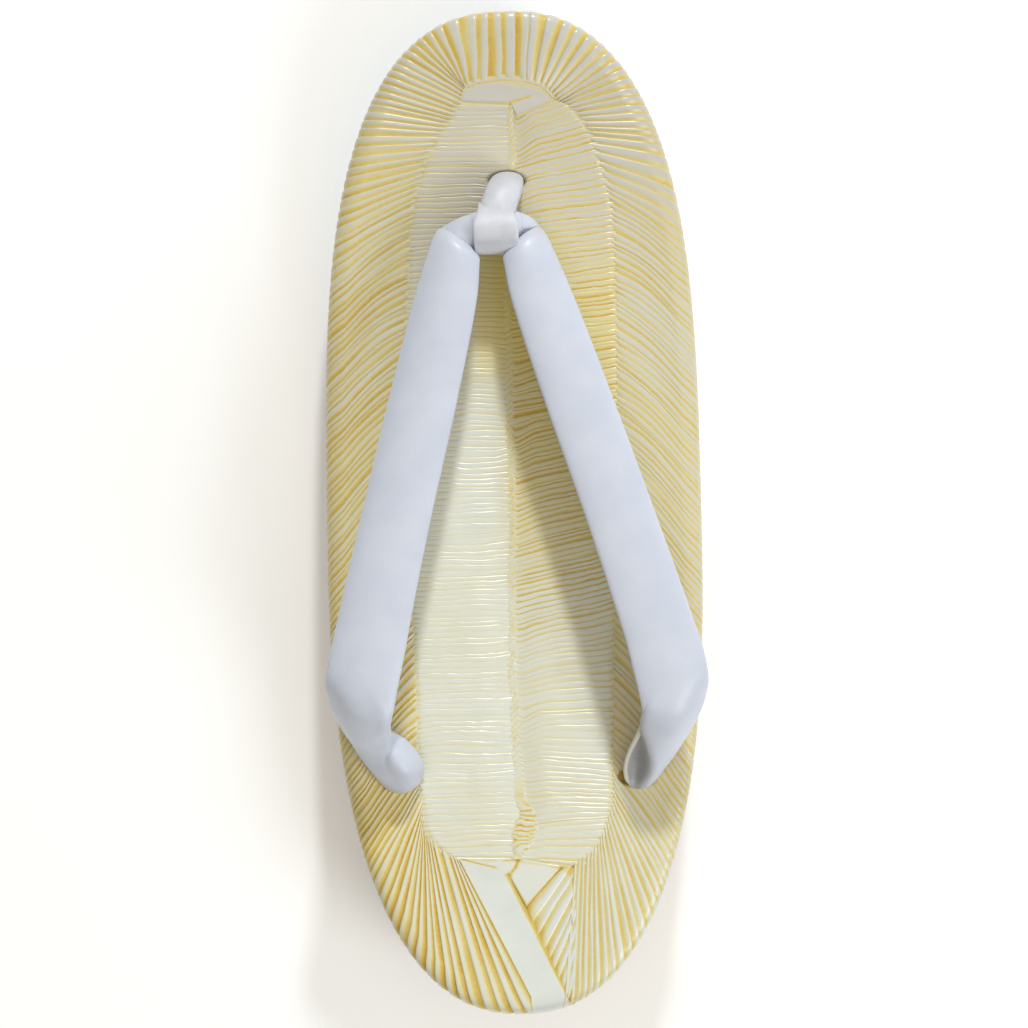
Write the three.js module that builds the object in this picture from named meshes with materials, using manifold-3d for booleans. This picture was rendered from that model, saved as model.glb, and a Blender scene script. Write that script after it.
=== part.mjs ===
import * as THREE from "three";
import { mergeVertices } from "three/addons/utils/BufferGeometryUtils.js";
import Module from "manifold-3d";

// Zori sandal in millimetres: toe along +Y, floor at Z = 0, origin under the middle of the sole

// Outline of the padded board from above: four quarters of superellipses
const LENGTH = 240;
const HALF_WIDTH = 45.5;
const WIDEST_FROM_TOE = 122.4;
const FRONT_POWER = { across: 2.42, along: 3.24 };
const REAR_POWER = { across: 2.3, along: 2.64 };

// Side profile: the toe spring of the underside and the height of all layers above it
const TOE_SPRING = 21;
const SPRING_LENGTH = 104;
const STACK = [
  { fromToe: 0, height: 10.6 },
  { fromToe: 50, height: 17.4 },
  { fromToe: 110, height: 23.6 },
  { fromToe: 170, height: 29.5 },
  { fromToe: 240, height: 38.8 },
];

// Layers of the sole
const OUTSOLE_THICK = 3.5;
const OUTSOLE_INSET = 1.5;
const OUTSOLE_BEVEL = 0.7;
const CORK_TOP_INSET = 1.1;
const FOOTBED_THICK = 5.2;
const GAP = 0.3;

// Rolled edge of the padded board, from its underside to its top
const FOOTBED_EDGE = [
  { inset: 1.2, up: 0 },
  { inset: 0.3, up: 0.7 },
  { inset: 0, up: 1.8 },
  { inset: 0.2, up: 2.9 },
  { inset: 0.9, up: 3.9 },
  { inset: 2.2, up: 4.7 },
  { inset: 4.4, up: FOOTBED_THICK },
];

// Amber plate let into the heel of the outsole, set a little askew
const PLATE_X = -1.2;
const PLATE_FRONT_Y = -82;
const PLATE_TURN = THREE.MathUtils.degToRad(7);
const PLATE_HALF_WIDTH = 24;
const PLATE_DEPTH = 32;
const PLATE_POWER = 2.3;
const PLATE_CORNER = 2.5;
const PLATE_SUNK = 0.4;
const PLATE_BEVEL = 0.5;
const NAIL_WELLS = [
  { x: 7.3, y: -98.7 },
  { x: -4.8, y: -104.4 },
  { x: -11.5, y: -101.4 },
];
const NAIL_WELL_RADIUS = 2.2;
const NAIL_WELL_DEPTH = 1;

// One strap arm from its front lip to its end in the rear hole, x measured outwards.
// inner and outer are the band's edges and crown is the middle of its section.
const ARM = [
  { inner: [3.6, 60.3, 33.4], crown: [7.6, 64.9, 33.4], outer: [11.7, 67.5, 29.6], thick: 3.0 },
  { inner: [3.3, 58.3, 34.6], crown: [8.5, 62.3, 34.6], outer: [13.0, 64.7, 29.8], thick: 5.2 },
  { inner: [4.2, 49.5, 37.5], crown: [12.0, 50.0, 36.8], outer: [18.5, 50.1, 31.0], thick: 5.4 },
  { inner: [10.3, 25.7, 41.0], crown: [18.7, 25.9, 40.2], outer: [26.2, 26.1, 35.2], thick: 5.0 },
  { inner: [18.3, -2.5, 45.0], crown: [27.0, -2.5, 44.9], outer: [34.7, -2.5, 40.6], thick: 4.6 },
  { inner: [24.3, -25.6, 48.6], crown: [33.3, -25.9, 48.8], outer: [41.5, -26.0, 45.0], thick: 4.2 },
  { inner: [27.1, -37.6, 49.6], crown: [36.2, -38.3, 50.0], outer: [44.4, -38.0, 46.2], thick: 3.8 },
  { inner: [28.9, -45.4, 49.0], crown: [37.2, -46.6, 48.0], outer: [43.6, -44.9, 40.4], thick: 3.4 },
  { inner: [29.8, -50.2, 46.6], crown: [36.5, -52.0, 44.2], outer: [41.5, -50.4, 37.4], thick: 3.0 },
  { inner: [27.0, -53.7, 41.0], crown: [31.8, -55.4, 43.4], outer: [38.8, -54.8, 36.0], thick: 2.6 },
  { inner: [24.1, -57.9, 35.8], crown: [31.8, -59.9, 39.0], outer: [36.2, -59.1, 34.0], thick: 2.4 },
  { inner: [23.1, -61.8, 33.4], crown: [30.8, -63.9, 35.6], outer: [34.0, -62.7, 32.2], thick: 2.4 },
  { inner: [24.1, -64.3, 30.0], crown: [29.0, -66.1, 31.4], outer: [31.6, -64.9, 29.0], thick: 2.4 },
  { inner: [25.0, -63.9, 24.0], crown: [28.4, -65.1, 24.6], outer: [30.6, -64.1, 23.4], thick: 2.4 },
  { inner: [25.4, -63.5, 18.0], crown: [28.2, -64.3, 18.0], outer: [30.2, -63.5, 18.0], thick: 2.4 },
];

// The right arm's end opens like a spoon: its inner half is hollowed over this stretch
const CUP = { depth: 2.6, frontY: -53, rearY: -64.2 };

// Forward of this line the straps lean to the left, by this much for each millimetre
const LEAN_FROM_Y = -32;
const LEAN_RATE = -0.0465;

// Neck joining the arms through the front loop, from left to right
const NECK = [
  { inner: [-14.7, 60.9, 30.4], crown: [-14.1, 63.7, 31.0], outer: [-13.7, 66.5, 29.6], thick: 2.6 },
  { inner: [-9.3, 62.1, 31.4], crown: [-9.1, 65.7, 32.2], outer: [-8.9, 69.5, 31.2], thick: 4.4 },
  { inner: [-3.1, 62.7, 32.6], crown: [-3.1, 66.3, 32.8], outer: [-3.1, 69.9, 32.4], thick: 5.6 },
  { inner: [2.2, 62.1, 31.4], crown: [2.2, 65.7, 32.2], outer: [2.2, 69.5, 31.2], thick: 4.4 },
  { inner: [6.2, 60.9, 30.4], crown: [5.8, 63.9, 31.0], outer: [5.4, 66.9, 29.6], thick: 2.6 },
];

// Front loop around the neck
const LOOP_X = -3.1;
const LOOP_Y = 66.3;
const LOOP_Z = 32.6;
const LOOP_REACH_Y = 5.0;
const LOOP_REACH_Z = 4.4;
const LOOP_WIDTH = 10.4;
const LOOP_THICK = 2.0;
const LOOP_STEPS = 28;

// Stem of the loop, down into the front hole
const STEM = [
  { x: -3.0, y: 70.9, z: 31.0, width: 8.0, thick: 3.6 },
  { x: -2.4, y: 74.0, z: 29.4, width: 8.6, thick: 5.0 },
  { x: -1.4, y: 77.6, z: 26.6, width: 8.8, thick: 5.2 },
  { x: -0.8, y: 79.6, z: 22.6, width: 8.2, thick: 4.8 },
  { x: -0.6, y: 80.0, z: 14.6, width: 7.4, thick: 4.4 },
];

// Fineness of the facets
const OUTLINE_STEPS = 48;
const OUTLINE_SAMPLES = 160;
const CAP_COLUMNS = 6;
const BAND_SIDES = 14;
const BAND_STEP = 3.2;
const PLATE_STEPS = 28;
const WELL_SIDES = 16;

const wasm = await Module();
wasm.setup();

// Cubic through a column of a table, read at any place along it
function smooth(places, values, at) {
  const last = places.length - 1;
  let row = 0;
  while (row < last - 1 && at > places[row + 1]) row += 1;
  const slope = (i) => {
    const low = Math.max(i - 1, 0);
    const high = Math.min(i + 1, last);
    return (values[high] - values[low]) / (places[high] - places[low]);
  };
  const span = places[row + 1] - places[row];
  const t = THREE.MathUtils.clamp((at - places[row]) / span, 0, 1);
  const rise = values[row + 1] - values[row];
  const start = slope(row) * span;
  const end = slope(row + 1) * span;
  return values[row] + t * (start + t * (3 * rise - 2 * start - end + t * (start + end - 2 * rise)));
}

// Heights of the layers above the floor at a place along the sole
const fromToe = (y) => LENGTH / 2 - y;
const stackPlaces = STACK.map((row) => row.fromToe);
const stackHeights = STACK.map((row) => row.height);

function underside(y) {
  return TOE_SPRING * Math.max(0, 1 - fromToe(y) / SPRING_LENGTH) ** 2;
}

function boardTop(y) {
  return underside(y) + smooth(stackPlaces, stackHeights, fromToe(y));
}

// Right half of the outline from the toe tip to the heel end, drawn in by an inset
function halfOutline(inset) {
  const points = [];
  for (let i = 0; i <= OUTLINE_SAMPLES; i += 1) {
    const turn = Math.PI * (0.5 - i / OUTLINE_SAMPLES);
    const power = turn > 0 ? FRONT_POWER : REAR_POWER;
    const reach = (turn > 0 ? WIDEST_FROM_TOE : LENGTH - WIDEST_FROM_TOE) - inset;
    const atTip = i === 0 || i === OUTLINE_SAMPLES;
    const x = atTip ? 0 : (HALF_WIDTH - inset) * Math.cos(turn) ** (2 / power.across);
    const y = Math.sign(turn) * reach * Math.abs(Math.sin(turn)) ** (2 / power.along);
    points.push(new THREE.Vector3(x, LENGTH / 2 - WIDEST_FROM_TOE + y, 0));
  }
  return new THREE.CatmullRomCurve3(points).getSpacedPoints(OUTLINE_STEPS);
}

// Triangles between rows of points of equal length, leaving out those that close to a line
function addSkin(triangles, rows) {
  const addTriangle = (a, b, c) => {
    if (a.equals(b) || b.equals(c) || c.equals(a)) return;
    triangles.push(a, b, c);
  };
  for (let i = 0; i + 1 < rows.length; i += 1) {
    for (let j = 0; j + 1 < rows[i].length; j += 1) {
      addTriangle(rows[i][j], rows[i + 1][j], rows[i + 1][j + 1]);
      addTriangle(rows[i][j], rows[i + 1][j + 1], rows[i][j + 1]);
    }
  }
}

function geometryOf(triangles) {
  return new THREE.BufferGeometry().setFromPoints(triangles);
}

function solidOf(geometry) {
  geometry.deleteAttribute("normal");
  geometry.deleteAttribute("uv");
  const merged = mergeVertices(geometry, 1e-4);
  const vertProperties = new Float32Array(merged.attributes.position.array);
  const triVerts = new Uint32Array(merged.index.array);
  return new wasm.Manifold(new wasm.Mesh({ numProp: 3, vertProperties, triVerts }));
}

function meshOf(name, solid, material) {
  const { vertProperties, triVerts } = solid.getMesh();
  const geometry = new THREE.BufferGeometry();
  geometry.setAttribute("position", new THREE.BufferAttribute(vertProperties, 3));
  geometry.setIndex(new THREE.BufferAttribute(triVerts, 1));
  geometry.computeVertexNormals();
  const mesh = new THREE.Mesh(geometry, material);
  mesh.name = name;
  return mesh;
}

// A layer of the sole from rings that climb its edge: each has an inset and a height along Y
function layerSolid(rings) {
  const halves = rings.map(({ inset, height }) => halfOutline(inset).map((p) => p.setZ(height(p.y))));
  const mirrored = (p) => new THREE.Vector3(-p.x, p.y, p.z);
  const cap = (half) => half.map((p) => {
    const row = [];
    for (let j = 0; j <= CAP_COLUMNS; j += 1) {
      row.push(new THREE.Vector3(p.x * (2 * j / CAP_COLUMNS - 1), p.y, p.z));
    }
    return row;
  });
  const loop = (half) => [...half, ...half.slice(0, -1).reverse().map(mirrored)];
  const triangles = [];
  addSkin(triangles, cap(halves[0]).map((row) => row.reverse()));
  addSkin(triangles, halves.map(loop));
  addSkin(triangles, cap(halves[halves.length - 1]));
  return solidOf(geometryOf(triangles));
}

// Middle line of a band's section: five points from the inner edge over the crown to the outer
function sectionCurve(row, ahead) {
  const inner = new THREE.Vector3(...row.inner);
  const crown = new THREE.Vector3(...row.crown);
  const outer = new THREE.Vector3(...row.outer);
  const face = new THREE.Vector3().crossVectors(ahead, outer.clone().sub(inner)).normalize();
  const middle = inner.clone().add(outer).multiplyScalar(0.5);
  const bow = crown.clone().sub(middle).multiplyScalar(0.25);
  const flap = inner.clone().lerp(crown, 0.5).add(bow).addScaledVector(face, -row.cup);
  const flank = crown.clone().lerp(outer, 0.5).add(bow);
  return new THREE.CatmullRomCurve3([inner, flap, crown, flank, outer]);
}

// A padded band of elliptic section through its rows, grown on all sides by a margin
function bandSolid(rows, { grown = 0, closed = false, place = (p) => p, flipped = false } = {}) {
  const crowns = rows.map((row) => new THREE.Vector3(...row.crown));
  const places = [0];
  for (let i = 1; i < rows.length; i += 1) {
    places.push(places[i - 1] + crowns[i].distanceTo(crowns[i - 1]));
  }
  const steps = closed ? rows.length - 1 : Math.ceil(places[rows.length - 1] / BAND_STEP);
  const column = (pick, at) => smooth(places, rows.map(pick), at);
  const point = (key, at) => [0, 1, 2].map((axis) => column((row) => row[key][axis], at));
  const stations = [];
  for (let i = 0; i <= steps; i += 1) {
    const at = closed ? places[i] : (i / steps) * places[rows.length - 1];
    stations.push({
      inner: point("inner", at),
      crown: point("crown", at),
      outer: point("outer", at),
      cup: column((row) => row.cup ?? 0, at),
      thick: column((row) => row.thick, at),
    });
  }
  const crownAt = (i) => {
    const turned = closed ? (i + steps) % steps : THREE.MathUtils.clamp(i, 0, steps);
    return new THREE.Vector3(...stations[turned].crown);
  };
  const rings = stations.map((station, i) => {
    const ahead = crownAt(i + 1).sub(crownAt(i - 1)).normalize();
    const curve = sectionCurve(station, ahead);
    const ring = [];
    for (let k = 0; k <= BAND_SIDES; k += 1) {
      const turn = (2 * Math.PI * (k % BAND_SIDES)) / BAND_SIDES;
      const share = 0.5 + 0.5 * Math.cos(turn);
      const across = curve.getTangent(share);
      const face = new THREE.Vector3().crossVectors(ahead, across).normalize();
      const onBand = curve.getPoint(share)
        .addScaledVector(face, Math.sin(turn) * (station.thick / 2 + grown))
        .addScaledVector(across, Math.cos(turn) * grown);
      ring.push(place(onBand));
    }
    return flipped ? ring.reverse() : ring;
  });
  const triangles = [];
  addSkin(triangles, rings.map((ring) => ring.slice().reverse()));
  if (!closed) {
    const fan = (ring) => ring.map((p) => [centreOf(ring), p]);
    addSkin(triangles, fan(rings[0]));
    addSkin(triangles, fan(rings[steps]).reverse());
  }
  return solidOf(geometryOf(triangles));
}

function centreOf(ring) {
  const sum = new THREE.Vector3();
  ring.slice(1).forEach((p) => sum.add(p));
  return sum.divideScalar(ring.length - 1);
}

// Strap arms, mirrored about the centre line and then leaned
function armSolid(side, grown) {
  const rows = ARM.map((row) => {
    const cupped = side > 0 && row.crown[1] < CUP.frontY && row.crown[1] > CUP.rearY;
    return { ...row, cup: cupped ? CUP.depth : 0 };
  });
  const place = (p) => {
    const lean = LEAN_RATE * Math.max(0, p.y - LEAN_FROM_Y);
    return new THREE.Vector3(side * p.x + lean, p.y, p.z);
  };
  return bandSolid(rows, { grown, place, flipped: side < 0 });
}

function loopSolid(grown) {
  const rows = [];
  for (let i = 0; i <= LOOP_STEPS; i += 1) {
    const turn = (2 * Math.PI * (i % LOOP_STEPS)) / LOOP_STEPS;
    const y = LOOP_Y + LOOP_REACH_Y * Math.cos(turn);
    const z = LOOP_Z + LOOP_REACH_Z * Math.sin(turn);
    rows.push({
      inner: [LOOP_X - LOOP_WIDTH / 2, y, z],
      crown: [LOOP_X, y, z],
      outer: [LOOP_X + LOOP_WIDTH / 2, y, z],
      thick: LOOP_THICK,
    });
  }
  return bandSolid(rows, { grown, closed: true });
}

function stemSolid(grown) {
  const rows = STEM.map(({ x, y, z, width, thick }) => ({
    inner: [x - width / 2, y, z],
    crown: [x, y, z],
    outer: [x + width / 2, y, z],
    thick,
  }));
  return bandSolid(rows, { grown });
}

// Heel plate outline seen from above, grown by a margin
function plateShape(margin) {
  const half = PLATE_HALF_WIDTH + margin;
  const front = PLATE_FRONT_Y + margin;
  const depth = PLATE_DEPTH + 2 * margin;
  const shape = new THREE.Shape();
  shape.moveTo(-half + PLATE_CORNER, front);
  for (let i = 0; i <= PLATE_STEPS; i += 1) {
    const turn = (Math.PI * i) / PLATE_STEPS;
    const edge = i === 0 || i === PLATE_STEPS;
    const side = -Math.sign(Math.cos(turn)) * Math.abs(Math.cos(turn)) ** (2 / PLATE_POWER);
    const back = edge ? PLATE_CORNER / depth : Math.sin(turn) ** (2 / PLATE_POWER);
    if (back * depth >= PLATE_CORNER) shape.lineTo(half * side, front - depth * back);
  }
  shape.lineTo(half - PLATE_CORNER, front);
  shape.closePath();
  return shape;
}

function turnPlate(geometry) {
  return geometry.translate(0, -PLATE_FRONT_Y, 0).rotateZ(PLATE_TURN).translate(PLATE_X, PLATE_FRONT_Y, 0);
}

function plateSolid() {
  const options = {
    depth: OUTSOLE_THICK - PLATE_SUNK - 2 * PLATE_BEVEL,
    bevelSize: PLATE_BEVEL,
    bevelThickness: PLATE_BEVEL,
    bevelOffset: -PLATE_BEVEL,
    bevelSegments: 2,
  };
  const plate = turnPlate(new THREE.ExtrudeGeometry(plateShape(0), options));
  plate.translate(0, 0, PLATE_SUNK + PLATE_BEVEL);
  return NAIL_WELLS.reduce((solid, { x, y }) => {
    const size = [NAIL_WELL_RADIUS, NAIL_WELL_RADIUS, 2 * NAIL_WELL_DEPTH];
    const well = new THREE.CylinderGeometry(...size, WELL_SIDES);
    well.rotateX(Math.PI / 2);
    well.translate(x, y, PLATE_SUNK);
    return solid.subtract(solidOf(well));
  }, solidOf(plate));
}

function outsoleSolid() {
  const level = (up) => (y) => underside(y) + up;
  const slab = layerSolid([
    { inset: OUTSOLE_INSET + OUTSOLE_BEVEL, height: level(0) },
    { inset: OUTSOLE_INSET, height: level(OUTSOLE_BEVEL) },
    { inset: OUTSOLE_INSET, height: level(OUTSOLE_THICK) },
  ]);
  const through = { depth: 3 * OUTSOLE_THICK, bevelEnabled: false };
  const opening = turnPlate(new THREE.ExtrudeGeometry(plateShape(GAP), through));
  opening.translate(0, 0, -OUTSOLE_THICK);
  return slab.subtract(solidOf(opening));
}

function corkSolid() {
  return layerSolid([
    { inset: OUTSOLE_INSET, height: (y) => underside(y) + OUTSOLE_THICK + GAP },
    { inset: CORK_TOP_INSET, height: (y) => boardTop(y) - FOOTBED_THICK - GAP },
  ]);
}

function footbedSolid() {
  return layerSolid(FOOTBED_EDGE.map(({ inset, up }) => ({
    inset,
    height: (y) => boardTop(y) - FOOTBED_THICK + up,
  })));
}

// Assembly: holes leave a gap around the strap ends and the stem
const strapHoles = armSolid(-1, GAP).add(armSolid(1, GAP)).add(stemSolid(GAP));
const neck = bandSolid(NECK);
const arms = armSolid(-1, 0).add(armSolid(1, 0)).subtract(loopSolid(GAP)).subtract(stemSolid(GAP));
const loop = loopSolid(0).add(stemSolid(0)).subtract(bandSolid(NECK, { grown: GAP }));

const rubber = new THREE.MeshStandardMaterial({ color: 0xa9bdcb, roughness: 0.7, metalness: 0 });
const amber = new THREE.MeshStandardMaterial({ color: 0xd9ac32, roughness: 0.35, metalness: 0 });
const cork = new THREE.MeshStandardMaterial({ color: 0xa97f4c, roughness: 0.9, metalness: 0 });
const vinyl = new THREE.MeshStandardMaterial({ color: 0xe6ddb4, roughness: 0.4, metalness: 0 });
const strapCloth = new THREE.MeshStandardMaterial({ color: 0xd4d7e2, roughness: 0.6, metalness: 0 });
const loopCloth = new THREE.MeshStandardMaterial({ color: 0xe3e3e8, roughness: 0.35, metalness: 0 });

const zori = new THREE.Group();
zori.add(
  meshOf("outsole", outsoleSolid(), rubber),
  meshOf("heel_plate", plateSolid(), amber),
  meshOf("cork_core", corkSolid().subtract(strapHoles), cork),
  meshOf("footbed", footbedSolid().subtract(strapHoles), vinyl),
  meshOf("hanao", arms.add(neck), strapCloth),
  meshOf("maetsubo", loop, loopCloth),
);

export default zori;
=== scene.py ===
import math

import bmesh
import bpy
import numpy as np
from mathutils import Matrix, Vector


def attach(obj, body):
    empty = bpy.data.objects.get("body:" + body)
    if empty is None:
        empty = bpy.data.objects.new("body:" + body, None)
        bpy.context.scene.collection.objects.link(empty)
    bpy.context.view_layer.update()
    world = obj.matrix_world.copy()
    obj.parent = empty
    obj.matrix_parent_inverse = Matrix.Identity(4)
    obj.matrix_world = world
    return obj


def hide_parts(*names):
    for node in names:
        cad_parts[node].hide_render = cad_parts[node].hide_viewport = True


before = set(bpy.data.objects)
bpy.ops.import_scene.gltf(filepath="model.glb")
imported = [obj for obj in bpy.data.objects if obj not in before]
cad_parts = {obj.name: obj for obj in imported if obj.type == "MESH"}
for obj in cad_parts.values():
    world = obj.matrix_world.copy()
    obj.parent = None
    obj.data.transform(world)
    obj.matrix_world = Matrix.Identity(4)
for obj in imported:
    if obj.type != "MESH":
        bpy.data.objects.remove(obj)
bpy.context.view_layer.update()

# All shapes below are worked out in millimetres and scaled when a mesh is made.
MM = 0.001

# Board outline and side profile, as in the part
LENGTH = 240
HALF_WIDTH = 45.5
WIDEST_FROM_TOE = 122.4
FRONT_ACROSS, FRONT_ALONG = 2.42, 3.24
REAR_ACROSS, REAR_ALONG = 2.3, 2.64
TOE_SPRING = 21
SPRING_LENGTH = 104
STACK_FROM_TOE = (0, 50, 110, 170, 240)
STACK_HEIGHT = (10.6, 17.4, 23.6, 29.5, 38.8)

# Layers
OUTSOLE_THICK = 3.5
OUTSOLE_INSET = 1.5
CORK_TOP_INSET = 1.1
CORK_BEVEL_IN, CORK_BEVEL_UP = 0.4, 0.2
FOOTBED_THICK = 5.2
GAP = 0.3
# Edge of the outsole from the bottom up: inset from its outline, height, share of dark, share of pale
OUTSOLE_EDGE = (
    (2.2, 0, 0, 0), (1.3, 0, 0, 0), (1.05, 0.12, 0.35, 0), (0.8, 0, 0, 1), (0.35, 0.1, 0, 1),
    (0.1, 0.4, 0.6, 0.3), (0, 0.8, 1, 0), (0, 1.8, 1, 0), (0, 3.1, 1, 0),
    (0.15, OUTSOLE_THICK, 1, 0), (2, OUTSOLE_THICK, 1, 0),
)
# Edge of the board inside its cover, from the bottom up: inset, height
BOARD_EDGE = ((1.8, 0.4), (1.4, 1.4), (1.9, 2.2), (2.8, 2.8), (5, 3.1))
BOARD_TINT = (0.8, 0, 0)
# Amber plate let into the heel
PLATE_X, PLATE_FRONT_Y, PLATE_TURN = -1.2, -82, math.radians(7)
PLATE_HALF_WIDTH, PLATE_DEPTH, PLATE_POWER, PLATE_CORNER = 24, 32, 2.3, 2.5
PLATE_SUNK = 0.4
NAIL_WELLS = ((7.3, -98.7), (-4.8, -104.4), (-11.5, -101.4))
# Edge of the plate from the bottom up: margin beyond its outline, height
PLATE_EDGE = (
    (-1.7, 0), (-1, 0), (-0.6, 0.06), (-0.3, 0.2), (-0.1, 0.42), (0, 0.75), (0, OUTSOLE_THICK - PLATE_SUNK),
)
NAIL_WELL_PROFILE = (  # radius, height
    (2.5, -1), (2.5, 0), (2.3, 0.2), (2.15, 0.5), (2, 0.8), (1.7, 0.95), (1.2, 1),
)
RECESS_MARGIN, RECESS_HEIGHTS = 0.3, (-2, 8)
# Rolled edge of the board from the top down and under: inset from the outline, height
EDGE_ROLL = (
    (4.4, 5.2), (3.3, 5), (2.2, 4.7), (1.5, 4.35), (0.9, 3.9), (0.5, 3.4), (0.2, 2.9),
    (0.05, 2.35), (0, 1.8), (0.1, 1.2), (0.3, 0.7), (0.7, 0.3), (1.2, 0.1), (2.4, 0.05), (5, 0.05),
)

# Chart of the pleats round the border. Each row is one pleat line: its number counted from the
# heel band up the left side and down the right, where it starts on the centre field (x, y),
# and how far from the toe tip it reaches the outline (left negative).
PLEAT_CHART = (
    (1, -14.6, -83.1, -284.7), (4, -16.7, -82.3, -274.8), (6, -20.7, -78.8, -266.3),
    (10, -22.7, -75.8, -251.8), (15, -23.1, -70.1, -234.1), (17, -23.8, -67.4, -227.4),
    (23, -24.2, -59.6, -216.5), (30, -24.2, -45.3, -204.4), (39.5, -24.9, -26.2, -187.6),
    (57, -25.2, 2.7, -156.5), (71.5, -25.3, 27, -129), (84.5, -25.1, 48.8, -104.7),
    (95, -24.1, 66.9, -84.5), (101, -22.4, 76.9, -70.1), (107, -19.3, 85.9, -56.3),
    (111, -15.9, 91.5, -46.5), (117, -12.1, 96.7, -35.2), (122, -10.3, 101.4, -25.2),
    (126, -9.8, 102.3, -16.3), (128, -7, 103.3, -7.7), (130, -0.9, 104.1, -0.9),
    (132, 4.7, 103.5, 6.1), (134, 8.4, 102.4, 14.6), (138, 11.6, 99.1, 27.3),
    (142, 14.7, 97.3, 37), (146, 18.2, 93.3, 46), (150, 20.6, 88.2, 54.1),
    (154, 23.5, 79.2, 68.7), (158, 25, 72, 79.1), (171, 25.6, 50.3, 104.4),
    (185, 25.4, 26, 131), (200.5, 24.6, 1.8, 159.5), (217, 23.5, -27.1, 190.5),
    (226.5, 22.9, -46.2, 206.8), (233.5, 22.5, -60.5, 220.5), (239.5, 22.3, -69.9, 232.7),
    (244.5, 20.2, -76.7, 248), (248.5, 17.7, -81.3, 260.1), (253.5, 12.9, -84.9, 270.6),
)
# How the ochre changes round the border: pleat number, strength, share of a pleat it fills, wash over all
TONE_CHART = (
    (1, 1.2, 0.5, 0.2), (10, 1.25, 0.55, 0.25), (20, 1.2, 0.68, 0.42), (34, 1, 0.68, 0.32),
    (57, 1, 0.66, 0.28), (84, 0.94, 0.62, 0.24), (100, 0.84, 0.55, 0.2), (111, 0.8, 0.55, 0.18),
    (126, 1, 0.5, 0.1), (130, 1.05, 0.5, 0.1), (136, 0.9, 0.5, 0.1), (142, 0.74, 0.48, 0.06),
    (154, 0.72, 0.46, 0.06), (171, 0.74, 0.48, 0.1), (200, 0.78, 0.52, 0.14), (226, 0.8, 0.54, 0.16),
    (240, 0.74, 0.54, 0.16), (248, 0.72, 0.5, 0.16), (253.5, 0.7, 0.5, 0.16),
)
# How the ochre changes down the two halves of the centre field: y, strength on the left and on the right.
# Partly the ochre's own change, partly painted shade: the rise on the right from y 45 to 0, and on the
# left at y 45, is where the shadows of the right strap and the knot fall.
FIELD_TONE_CHART = (
    (98, 0.45, 1), (70, 0.45, 1.1), (45, 0.62, 1.4), (20, 0.36, 1.45), (0, 0.28, 1.4), (-20, 0.26, 0.9),
    (-40, 0.26, 0.5), (-60, 0.28, 0.4), (-84, 0.46, 0.56),
)
# Short pleats between the plain triangle and the heel band: number, start (x, y), end on the band (x, y)
WEDGE_CHART = (
    (0, 9.8, -85.7, 1.3, -94.7), (1, 11.5, -86.2, 2.7, -98.2), (2.2, 12.6, -88.6, 4.3, -102),
    (3.4, 13, -92.1, 5.9, -105.5), (4.8, 13.2, -96, 7.4, -109.2), (6.2, 13.1, -101.4, 9, -112.5),
    (7.4, 12.7, -107.2, 10.2, -115.1), (8.4, 11.8, -114.2, 11.3, -117),
)
# Plain heel band, its right side and its left: place on the outline, corner on the board (x, y)
BAND_RIGHT = (270.6, -3.1, -86.9)
BAND_LEFT = (280.47, -14.6, -83.1)
# Spine where the pleats of the two halves meet: y, x and half width of its ruffle
SPINE_CHART = (
    (-84, -1.2, 1.4), (-79, 0.2, 4.2), (-75.4, 1.5, 4.6), (-70, 0.6, 2.6), (-60, -0.4, 1.7), (-46, -0.9, 1.6),
    (-22, -1, 1.5), (2, -0.5, 1.5), (26, -0.6, 1.4), (51, -0.4, 1.4), (82, 0.9, 1.3), (98, 1, 1.2),
)
# Slope of the pleats in the right half of the field: y, rise to the right in degrees
SLOPE_CHART = (
    (-84, -6), (-76, 2), (-69, -3), (-59, -4), (-51, 1), (-41, 6), (-27, 12), (-5, 12),
    (12, 12), (26, 8), (50, 5), (65, 6), (75, 9), (84, 13), (98, 14),
)
# Front and back ends of the pleated field, and foot of the heel patch: x, y
BROW = ((-13, 98.9), (-8.8, 98.5), (0.8, 98), (2.4, 95.1), (11.8, 98.6), (15, 99.8))
FOOT = ((-17, -83), (-14.6, -83.1), (-0.9, -83.5), (9.8, -85.5), (14, -85))
PATCH_FOOT = ((-15.5, -83.2), (-3.1, -86.9), (1.3, -94.7), (9.8, -85.6), (11.5, -85.4))
FIELD_PLEATS = 152
# Halves of the centre field: side, y where the pleats begin, pitch, relief, narrowest and widest groove
# (shares of a pleat), unevenness, change along a pleat, seed
FIELD_HALVES = (
    (-1, 101.5, 1.245, 0.1, 0.14, 0.36, 0.5, 2.4, 41),
    (1, 104, 1.27, 0.125, 0.2, 0.5, 0.6, 2, 53),
)


# Shape helpers
def smooth(places, values, at):
    """Cubic through a table's values, which may be points, at given places."""
    places = np.asarray(places, float)
    values = np.asarray(values, float)
    at = np.asarray(at, float)
    last = len(places) - 1
    low = np.maximum(np.arange(last + 1) - 1, 0)
    high = np.minimum(np.arange(last + 1) + 1, last)
    more = (1,) * (values.ndim - 1)
    slope = (values[high] - values[low]) / (places[high] - places[low]).reshape((-1,) + more)
    row = np.clip(np.searchsorted(places, at, side="left") - 1, 0, last - 1)
    span = (places[row + 1] - places[row]).reshape(at.shape + more)
    t = np.clip((at - places[row]).reshape(span.shape) / span, 0, 1)
    rise = values[row + 1] - values[row]
    start, end = slope[row] * span, slope[row + 1] * span
    return values[row] + t * (start + t * (3 * rise - 2 * start - end + t * (start + end - 2 * rise)))


def charted(chart, at):
    """The columns of a chart at given places along its first column, smooth between its rows."""
    chart = np.array(sorted(chart), float)
    places = chart[:, 0]
    return np.moveaxis(smooth(places, chart[:, 1:], np.clip(at, places[0], places[-1])), -1, 0)


def line(table, x):
    """Straight lines through a table of x and y."""
    return np.interp(x, [r[0] for r in table], [r[1] for r in table])


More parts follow.
